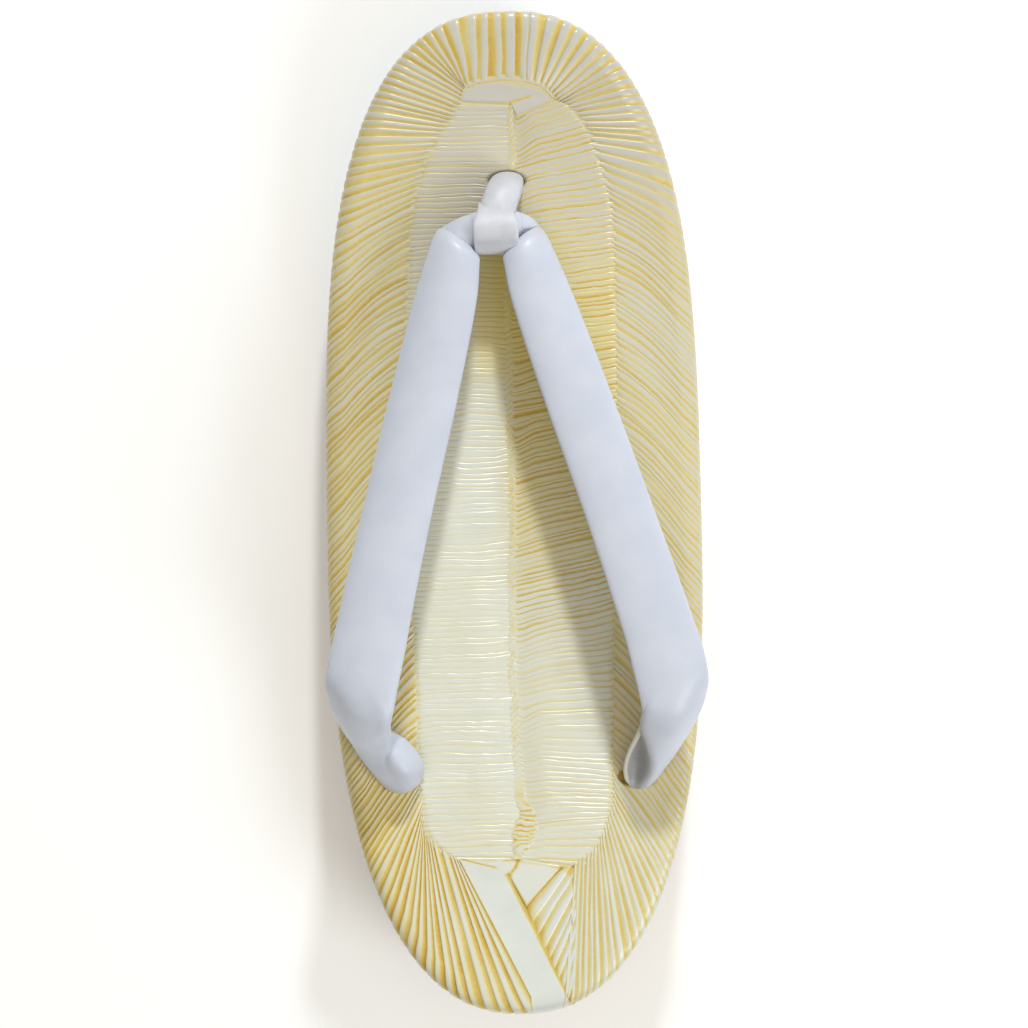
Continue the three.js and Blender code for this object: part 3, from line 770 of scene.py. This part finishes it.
def heel_patch():
    """Plain patch above the heel band, with a zigzag groove: points and tint."""
    x = np.linspace(-15.5, 11.5, 120)[:, None]
    high, low = line(FOOT, x) + 0.6, line(PATCH_FOOT, x)
    y = high + (low - high) * np.linspace(0, 1, 30)
    zigzag = bell(x - np.interp(y, (-87, -85.2, -83.4), (-2.7, -1.2, -0.5)), 0.4)
    slit = bell(y + 83.4 + 0.24 * (x + 13.6), 0.22) * step(-14.5, -13.5, x) * step(-5, -6.5, x)
    brim = bell(y - high + 0.75, 0.3)
    hem = step(1.1, 0.1, y - low) * step(-3.6, -2.6, x)
    worn = 0.6 + 0.4 * noise(x * 0.6, 0, 75)
    ochre = np.clip(0.9 * zigzag + 0.8 * slit + 0.6 * brim * worn + hem, 0, 1)
    sunk = 0.2 * zigzag + 0.12 * slit + 0.1 * brim + 0.3 * step(0.7, 0, high - y) + 0.2 * hem
    return stacked(x, y, board_top(y) - sunk), stacked(ochre, 0.08, 0)


def field_skin():
    """Centre of the cover: two halves of fine pleats that meet in a ruffled spine, and two plain patches."""
    skin = Skin()
    for half in FIELD_HALVES:
        skin.grid(*field_half(*half), flip=half[0] < 0)
    return skin.grid(*spine_strip()).grid(*toe_patch(), flip=True).grid(*heel_patch())


# Straps
ARM = (  # inner edge, crown and outer edge of the band (x outwards, y, z of each), its thickness
    (3.6, 60.3, 33.4, 7.6, 64.9, 33.4, 11.7, 67.5, 29.8, 3),
    (3.3, 58.3, 34.4, 8.5, 62.3, 34.5, 13, 64.7, 31, 5),
    (4.2, 49.5, 36.5, 12, 50, 36.7, 18.5, 50.1, 34.2, 5.2),
    (10.3, 25.7, 40.1, 18.7, 25.9, 40.3, 26.2, 26.1, 38.2, 4.9),
    (18.3, -2.5, 44.2, 27, -2.5, 44.5, 34.7, -2.5, 42.7, 4.6),
    (24.3, -25.6, 47.9, 33.3, -25.9, 48.3, 41.5, -26, 46.8, 4.2),
    (27.1, -37.6, 49.1, 36.2, -38.3, 49.6, 44.4, -38, 47.6, 3.8),
)
# Rear ends, which differ: inner edge, flap, crown, flank and outer edge, thickness, crease along the crown
STRAP_FOOT = (25.4, -63.7, 20, 26.9, -64.1, 20, 28.2, -64.3, 20, 29.3, -64, 20, 30.2, -63.7, 20, 2.4, 0)
LEFT_END = (
    (28.9, -45.4, 48.6, 30.5, -45.8, 48.9, 32.6, -46.2, 49, 38.6, -46.5, 47.8, 43.6, -44.9, 42.6, 3.4, 0),
    (30.2, -50.5, 46, 31, -51.1, 46.2, 32.6, -51.8, 46.2, 37.2, -52.4, 44.2, 41.6, -50.4, 38.8, 2.6, 0),
    (28.2, -53, 37.2, 29.6, -53.8, 38.6, 31.3, -54.8, 41.6, 35.6, -55.9, 40.4, 39.2, -54.6, 35.8, 2.2, 0.5),
    (24.9, -56.6, 35.4, 28.2, -57.6, 39.9, 31.2, -58.4, 39.4, 34.4, -59.2, 37.6, 37.2, -58.2, 33.4, 2.2, 0.7),
    (22.9, -60.4, 34.4, 26.6, -61.2, 39.2, 30, -62.1, 38, 32.8, -62.4, 36.2, 34.8, -61.5, 32.2, 2.2, 0.2),
    (23.6, -63.7, 32.2, 25.9, -64.7, 35.6, 28.4, -65.4, 35.2, 30.8, -65.2, 33.2, 32.3, -64.3, 30.8, 2.4, 0),
    (25, -65, 28.8, 26.6, -65.9, 30.2, 28.4, -66.3, 29.9, 29.9, -65.7, 28.8, 30.8, -64.8, 28, 2.4, 0),
    STRAP_FOOT,
)
RIGHT_END = (
    (28.9, -45.4, 48.6, 30.4, -45.7, 48.8, 32.2, -46, 49, 38.4, -46.5, 48.2, 43.6, -44.9, 43, 3.4, 0),
    (29.6, -50.4, 46, 29.8, -50.6, 45.6, 30.3, -50.9, 46.6, 36.6, -52, 46.2, 41.6, -50.4, 40, 2.6, 0.6),
    (28, -53.9, 42.4, 29.2, -54.3, 40.2, 31, -54.9, 44, 36, -55.6, 42.8, 39.4, -54.6, 37.4, 1.8, 1),
    (26.1, -58, 38.6, 28.8, -58.6, 34, 32, -59.2, 40.6, 35.2, -59, 38.8, 37.4, -58.2, 34.6, 1.5, 1),
    (25.2, -62, 35.6, 28.2, -62.4, 31.8, 31.8, -63, 36.8, 33.6, -62.4, 35.2, 34.9, -61.5, 32.6, 1.5, 1),
    (25.7, -65.3, 33.4, 27.6, -65.6, 32, 30.2, -66, 33.6, 31.6, -65.3, 32.4, 32.3, -64.3, 31, 1.6, 0.8),
    (26.6, -66.3, 30.4, 27.5, -66.4, 29.8, 28.7, -66.5, 29.8, 29.9, -65.8, 28.8, 30.8, -64.8, 28, 2, 0.2),
    STRAP_FOOT,
)
# In front of this y the straps lean to the left
LEAN_FROM_Y, LEAN_RATE = -32, -0.0465
NECK = (
    (-14.6, 63.4, 33.2, -15, 64.6, 32.6, -15.4, 65.8, 31.8, -15.8, 66.8, 30.9, -16.1, 67.6, 30, 1.5, 1),
    (-11.4, 62.2, 32.9, -11.8, 64.4, 33.1, -12.2, 66.8, 32.8, -12.2, 68.4, 32.2, -12.1, 69.4, 31, 2, 1),
    (-8.7, 61.9, 31.4, -8.7, 64.6, 32.4, -8.7, 67.6, 32.8, -8.7, 69.2, 32.3, -8.7, 70.1, 31.1, 3.2, 1),
    (-7.6, 63.2, 31.6, -7.6, 65.2, 32.4, -7.6, 67.6, 32.8, -7.6, 69.2, 32.6, -7.6, 70.2, 31.4, 4, 1),
    (-3.1, 63.4, 31.4, -3.1, 65.2, 32.2, -3.1, 67.4, 32.8, -3.1, 69.2, 32.6, -3.1, 70.2, 31.8, 4.8, 1),
    (1.4, 63.2, 30.4, 1.4, 65.2, 31.4, 1.4, 67.6, 32.4, 1.4, 69.2, 32.4, 1.4, 70.2, 31.2, 4.2, 1),
    (2.5, 61.7, 28.8, 2.5, 64.4, 30.2, 2.5, 67.6, 31.5, 2.5, 69.1, 31.7, 2.5, 70, 30.6, 3.8, 1),
    (4.2, 61.6, 28.6, 4.4, 64, 29.8, 4.6, 67.2, 30.9, 4.7, 68.5, 31.2, 4.6, 69.4, 30.2, 3.2, 1),
    (6.1, 63.8, 28.8, 6.4, 64.8, 29.3, 6.7, 66.3, 29.8, 6.8, 67.1, 29.8, 6.8, 67.9, 29.1, 2.2, 1),
)
LOOP_X, LOOP_Y, LOOP_Z = -3.1, 67, 32.9
LOOP_REACH_Y, LOOP_REACH_Z = 5, 4.4
LOOP_WIDTH, LOOP_THICK = 10.8, 1.9
LOOP_FALL = 1.25  # above 1 the loop falls straighter towards the stem
STEM = (  # x, y, z, width, thickness
    (-2.9, 70.6, 33.9, 9.1, 4.4),
    (-2.2, 73.2, 32.5, 9, 5.6),
    (-1, 76.7, 30, 8.9, 5.9),
    (-0.2, 79.3, 24.8, 7.9, 4.8),
    (-0.4, 80, 14.6, 7.2, 4.4),
)
# Open front end of each strap: depth into the mouth or distance past its rim, wall
MOUTH = ((3.2, 0.8), (1.6, 0.8), (0.5, 0.75), (0.12, 0.6), (0, 0.36), (0.1, 0.14), (0.35, 0))
SEAM_SHARE, SEAM_DEPTH = 0.74, 0.3  # the lining's seam, as a share of the half width
ARM_SIDES, NECK_SIDES, STEM_SIDES = 76, 56, 52
ARM_ROUND, NECK_ROUND, STEM_ROUND = 0.34, 0.35, 0.8  # below 1 a section is fuller at its edges


def five_points(row):
    """A row's inner edge, flap, crown, flank and outer edge, its thickness and crease."""
    if len(row) == 17:
        return np.reshape(row[:15], (5, 3)), row[15], row[16]
    inner, crown, outer = np.reshape(row[:9], (3, 3))
    bow = (crown - (inner + outer) / 2) / 4
    return np.array([inner, (inner + crown) / 2 + bow, crown, (crown + outer) / 2 + bow, outer]), row[9], 0


def section(knots, share, crease):
    """Points across the band at shares from its inner edge to its outer edge, smooth or creased."""
    bent = smooth(np.linspace(0, 1, 5), knots.transpose(1, 0, 2), share)
    first = (share <= 0.5)[:, None, None]
    t = np.where(share <= 0.5, share * 2, share * 2 - 1)[:, None, None]
    a, b, c = (np.where(first, knots[:, i], knots[:, i + 2]) for i in (0, 1, 2))
    folded = a * (1 - t) * (1 - 2 * t) + b * 4 * t * (1 - t) + c * t * (2 * t - 1)
    return (bent + (folded - bent) * crease[None, :, None]).transpose(1, 0, 2)


def band_grid(rows, stations, sides, shape, mouth=()):
    """Padded band through table rows: stations along it, points round its section.

    At a mouth, which comes first, the section shrinks by its wall.
    """
    knots, thick, crease = zip(*(five_points(row) for row in rows))
    knots = np.array(knots)
    places = travelled(knots[:, 2])
    at = stations(places)
    crease = np.clip(smooth(places, crease, at), 0, 1)
    angle = np.linspace(0, np.pi, sides // 2 + 1)
    share = 0.5 - 0.5 * np.cos(angle)
    near = (np.clip(at + off, 0, places[-1]) for off in (-0.4, 0, 0.4))
    back, sheet, ahead = (section(smooth(places, knots, where), share, crease) for where in near)
    normal = unit(np.cross(ahead - back, np.gradient(sheet, share, axis=1)))
    wall = np.zeros(len(at))
    wall[:len(mouth)] = [row[1] for row in mouth]
    width = np.linalg.norm(sheet[:, -1] - sheet[:, 0], axis=-1)
    hub = sheet[:, len(share) // 2][:, None, :]
    sheet = hub + (sheet - hub) * np.clip(1 - 2 * wall / width, 0.1, 1)[:, None, None]
    half = np.maximum(smooth(places, thick, at) / 2 - wall, 0.05)
    swell = normal * (half[:, None] * np.abs(np.sin(angle)) ** shape)[..., None]
    points = np.concatenate([sheet + swell, (sheet - swell)[:, -2:0:-1]], axis=1)
    return points, at, np.concatenate([angle, -angle[-2:0:-1]]), places


def even(spacing):
    return lambda places: np.linspace(0, places[-1], int(places[-1] / spacing) + 1)


def arm_stations(places):
    elbow, end = places[len(ARM) - 1], places[-1]
    depths = [row[0] for row in MOUTH]
    return np.concatenate([depths, np.arange(1, elbow, 0.9), np.arange(elbow, end, 0.36), [end]])


def hanao_skin():
    """Both straps and the neck that joins them. The right strap's rear end is folded open."""
    skin = Skin()
    for side, end in ((-1, LEFT_END), (1, RIGHT_END)):
        points, at, angle, places = band_grid(ARM + end, arm_stations, ARM_SIDES, ARM_ROUND, MOUTH)
        points = points * (side, 1, 1)
        points[..., 0] += LEAN_RATE * np.clip(points[..., 1] - LEAN_FROM_Y, 0, None)
        row = np.arange(len(at))[:, None]
        fold_from, fold_mid, fold_to = places[len(ARM):len(ARM) + 3]
        rear = step(fold_from, fold_to, at)[:, None] * (side > 0)
        hollow = rear * (angle > 0.3) * step(1.6, 1.35, angle)
        lining = np.maximum(step(0.3, 0.45, -np.sin(angle)), 0.6 * (row < 4))
        lining = np.maximum(lining, hollow)
        cut_edge = np.maximum(rear * step(0.5, 0.2, np.abs(angle)), 0.5 * ((row > 2) & (row < 6)))
        seam = (angle < 0) * bell(np.abs(np.cos(angle)) - SEAM_SHARE, 0.035)
        seam = seam * (step(6, 9, at) * step(fold_to, fold_mid, at))[:, None]
        opposite = points[:, -np.arange(len(angle)) % len(angle)]
        points = points + SEAM_DEPTH * seam[..., None] * unit(opposite - points)
        # Blue darkens the lining's seam, and as painted shade the inside of the right end's folded hollow.
        tint = stacked(lining, cut_edge, np.maximum(0.22 * hollow, 0.55 * seam))
        skin.tube(points, tint, (0.6, 0, 0), flip=side < 0)
    return skin.tube(band_grid(NECK, even(0.35), NECK_SIDES, NECK_ROUND)[0], flip=True)


def squared(v, power):
    return np.sign(v) * np.abs(v) ** power


def maetsubo_skin():
    """The loop round the neck and the stem that goes down from it."""
    turns = np.linspace(0, 2 * np.pi, 97)[:, None]
    around = 2 * np.pi * np.arange(56) / 56
    ahead, rise = np.cos(turns), np.sin(turns)
    width = LOOP_WIDTH * (1 - 0.22 * step(0.2, 0.95, ahead) - 0.06 * step(0.4, 1, -ahead))
    thick = LOOP_THICK / 2 * squared(np.sin(around), 0.5) * (1 + 0.22 * np.abs(np.cos(around)) ** 3)
    falls = np.where((ahead > 0) & (rise > 0), LOOP_FALL, 1)
    x = LOOP_X + width / 2 * squared(np.cos(around), 0.3)
    y = LOOP_Y + (LOOP_REACH_Y + 0.6 * np.clip(ahead, 0, 1) + thick) * squared(ahead, falls)
    z = LOOP_Z + (LOOP_REACH_Z + thick) * squared(rise, falls)
    skin = Skin().grid(stacked(x, y, z), wrap=True, flip=True)
    rows = [(x - w / 2, y, z, x, y, z, x + w / 2, y, z, t) for x, y, z, w, t in STEM]
    return skin.tube(band_grid(rows, even(0.4), STEM_SIDES, STEM_ROUND)[0])


# Sole layers and the board
def layer(low, high, rings, steps=240, across=25, pitted=False):
    """A closed layer between two heights along y, from rings that climb its edge. Its top may be pitted.

    Each ring has an inset, a share of the way from low to high, a rise beyond it and a tint.
    """
    tips = 0.001
    ox, oy, nx, ny = outline(np.clip(np.linspace(0, HALF_ARC, steps), tips, HALF_ARC - tips))
    halves = []
    for inset, share, rise, _ in rings:
        x, y = np.maximum(ox - nx * inset, 0), oy - ny * inset
        x[[0, -1]] = 0
        halves.append(stacked(x, y, low(y) + (high(y) - low(y)) * share + rise))
    halves = np.array(halves)
    tints = np.array([ring[3] for ring in rings])
    loops = np.concatenate([halves, (halves * (-1, 1, 1))[:, -2:0:-1]], 1)
    skin = Skin().grid(loops, tints[:, None, :], wrap=True)
    for end in (0, -1):
        x, y, z = halves[end].T[..., None]
        x = x * np.linspace(-1, 1, across)
        if pitted and end:
            z = np.maximum(z - pits(x, y), halves[0][:, 2:] + 0.05)
        skin.grid(stacked(x, y, z), tints[end], flip=end == 0)
    return skin


def board_skin():
    """Padded board under the cover, a little below it."""
    rings = [(inset, 0, rise, BOARD_TINT) for inset, rise in BOARD_EDGE]
    return layer(board_under, board_under, rings, 90, 41, pitted=True)


def cork_skin():
    plain = (0, 0, 0)
    rings = [(OUTSOLE_INSET + CORK_BEVEL_IN, 0, GAP, plain)]
    for share in np.linspace(0, 1, 9):
        inset = OUTSOLE_INSET + (CORK_TOP_INSET - OUTSOLE_INSET) * share
        rings.append((inset, share, (GAP + CORK_BEVEL_UP) * (1 - 2 * share), plain))
    rings.append((CORK_TOP_INSET + CORK_BEVEL_IN, 1, -GAP, plain))
    return layer(lambda y: underside(y) + OUTSOLE_THICK, board_under, rings)


def outsole_skin():
    rings = [(OUTSOLE_INSET + inset, 0, rise, (dark, pale, 0)) for inset, rise, dark, pale in OUTSOLE_EDGE]
    return layer(underside, underside, rings)


def plate_loop(margin, count=144):
    """The plate's D seen from above, drawn from its front left corner round the back."""
    half, depth = PLATE_HALF_WIDTH + margin, PLATE_DEPTH + 2 * margin
    corner = PLATE_CORNER + margin
    turns = np.linspace(0, np.pi, 400)
    x = -half * squared(np.cos(turns), 2 / PLATE_POWER)
    y = -depth * np.abs(np.sin(turns)) ** (2 / PLATE_POWER)
    keep = -y >= corner
    x, y = x[keep], y[keep]
    bend = np.linspace(0, np.pi / 2, 20)
    inward, rise = corner * (1 - np.cos(bend)), corner * (np.sin(bend) - 1)
    x = np.concatenate([x, x[-1] - inward, x[0] + inward[::-1], x[:1]])
    y = np.concatenate([y, rise, rise[::-1], y[:1]]) + margin
    gone = travelled(stacked(x, y))
    at = np.linspace(0, gone[-1], count, endpoint=False)
    x, y = np.interp(at, gone, x), np.interp(at, gone, y)
    c, s = math.cos(PLATE_TURN), math.sin(PLATE_TURN)
    return stacked(PLATE_X + c * x - s * y, PLATE_FRONT_Y + s * x + c * y)


def prism(name, loops):
    """A closed solid from loops of equal length at given heights, capped with flat faces."""
    edit = bmesh.new()
    rings = [[edit.verts.new((x * MM, y * MM, z * MM)) for x, y in loop] for loop, z in loops]
    for low, high in zip(rings, rings[1:]):
        for i in range(len(low)):
            j = (i + 1) % len(low)
            edit.faces.new((low[i], low[j], high[j], high[i]))
    edit.faces.new(rings[0][::-1])
    edit.faces.new(rings[-1])
    bmesh.ops.recalc_face_normals(edit, faces=edit.faces)
    mesh = bpy.data.meshes.new(name)
    edit.to_mesh(mesh)
    edit.free()
    return linked(name, mesh)


def cut(piece, tool):
    work = piece.modifiers.new("cut", "BOOLEAN")
    work.operation, work.solver, work.object = "DIFFERENCE", "EXACT", tool
    shaped = bpy.context.evaluated_depsgraph_get()
    mesh = bpy.data.meshes.new_from_object(piece.evaluated_get(shaped))
    piece.modifiers.clear()
    old, piece.data = piece.data, mesh
    bpy.data.meshes.remove(old)
    bpy.data.objects.remove(tool)


def creased(piece, degrees):
    """Smooth shading, with edges that bend more than this left sharp."""
    piece.data.shade_smooth()
    piece.data.set_sharp_from_angle(angle=math.radians(degrees))
    return piece


def outsole_piece(material):
    outsole = outsole_skin().piece("outsole_sheet", material, 0.001)
    cut(outsole, prism("recess", [(plate_loop(RECESS_MARGIN), z) for z in RECESS_HEIGHTS]))
    return creased(outsole, 40)


def plate_piece(material):
    plate = prism("heel_plate_amber", [(plate_loop(m), PLATE_SUNK + z) for m, z in PLATE_EDGE])
    plate.data.materials.append(material)
    around = 2 * np.pi * np.arange(32) / 32
    ring = stacked(np.cos(around), np.sin(around))
    for middle in NAIL_WELLS:
        cut(plate, prism("well", [(middle + r * ring, PLATE_SUNK + z) for r, z in NAIL_WELL_PROFILE]))
    return creased(plate, 35)


# Pieces
vinyl, strap, loop_white = vinyl_material(), strap_material(), loop_material()
cork, rubber, amber = cork_material(), rubber_material(), amber_material()
cover = (("footbed_border", border_skin), ("footbed_heel_band", heel_skin), ("footbed_field", field_skin))
for name, skin in cover:
    piece = place(skin().piece(name, vinyl, 0.002), "footbed")
place(board_skin().piece("footbed_board", vinyl, 0.001), "footbed")
hanao = place(hanao_skin().piece("hanao_straps", strap, 0.001), "hanao")
place(maetsubo_skin().piece("maetsubo_loop", loop_white, 0.001), "maetsubo")
place(cork_skin().piece("cork_wedge", cork, 0.001), "cork_core")
place(outsole_piece(rubber), "outsole")
place(plate_piece(amber), "heel_plate")

# Floor, lights and camera
FLOOR_SIZE = 3
LIGHTS = (  # name, direction it comes from, distance and size in metres, power, colour
    ("key", (0.17, 1.55, 1), 1.6, 0.14, 13.7, (0.96, 0.99, 1)),
    ("side", (0.62, -0.5, 0.68), 1.5, 0.7, 8.5, (0.9, 0.96, 1)),
    ("fill", (0.1, -0.2, 1), 1.5, 1.6, 6.3, (1, 0.94, 0.8)),
)
WORLD = {"Color": (1, 0.94, 0.8, 1), "Strength": 0.23}
# The photo's camera, straight above the sandal and rolled a little
CAMERA_HEIGHT = 750
CAMERA_Y = -1
FRAME_AT_BOARD = 246.5
BOARD_HEIGHT = 30
SENSOR = 36
ROLL = math.radians(-1.04)

floor_mesh = bpy.data.meshes.new("floor")
edit = bmesh.new()
bmesh.ops.create_grid(edit, x_segments=2, y_segments=2, size=FLOOR_SIZE)
edit.to_mesh(floor_mesh)
edit.free()
floor_mesh.materials.append(floor_material())
floor = linked("floor", floor_mesh)

for name, direction, distance, size, power, colour in LIGHTS:
    light = bpy.data.lights.new(name, "AREA")
    light.shape, light.size, light.energy, light.color = "DISK", size, power, colour
    lamp = linked(name, light)
    lamp.location = Vector(direction).normalized() * distance
    lamp.rotation_mode = "QUATERNION"
    lamp.rotation_quaternion = lamp.location.to_track_quat("Z", "Y")
world = bpy.data.worlds.new("studio")
world.use_nodes = True
for key, value in WORLD.items():
    world.node_tree.nodes["Background"].inputs[key].default_value = value

scene = bpy.context.scene
camera_data = bpy.data.cameras.new("camera")
camera_data.sensor_width = SENSOR
camera_data.lens = SENSOR * (CAMERA_HEIGHT - BOARD_HEIGHT) / FRAME_AT_BOARD
camera = linked("camera", camera_data)
camera.location = (0, CAMERA_Y * MM, CAMERA_HEIGHT * MM)
camera.rotation_euler = (0, 0, ROLL)
scene.world, scene.camera = world, camera
scene.view_settings.view_transform = "Standard"
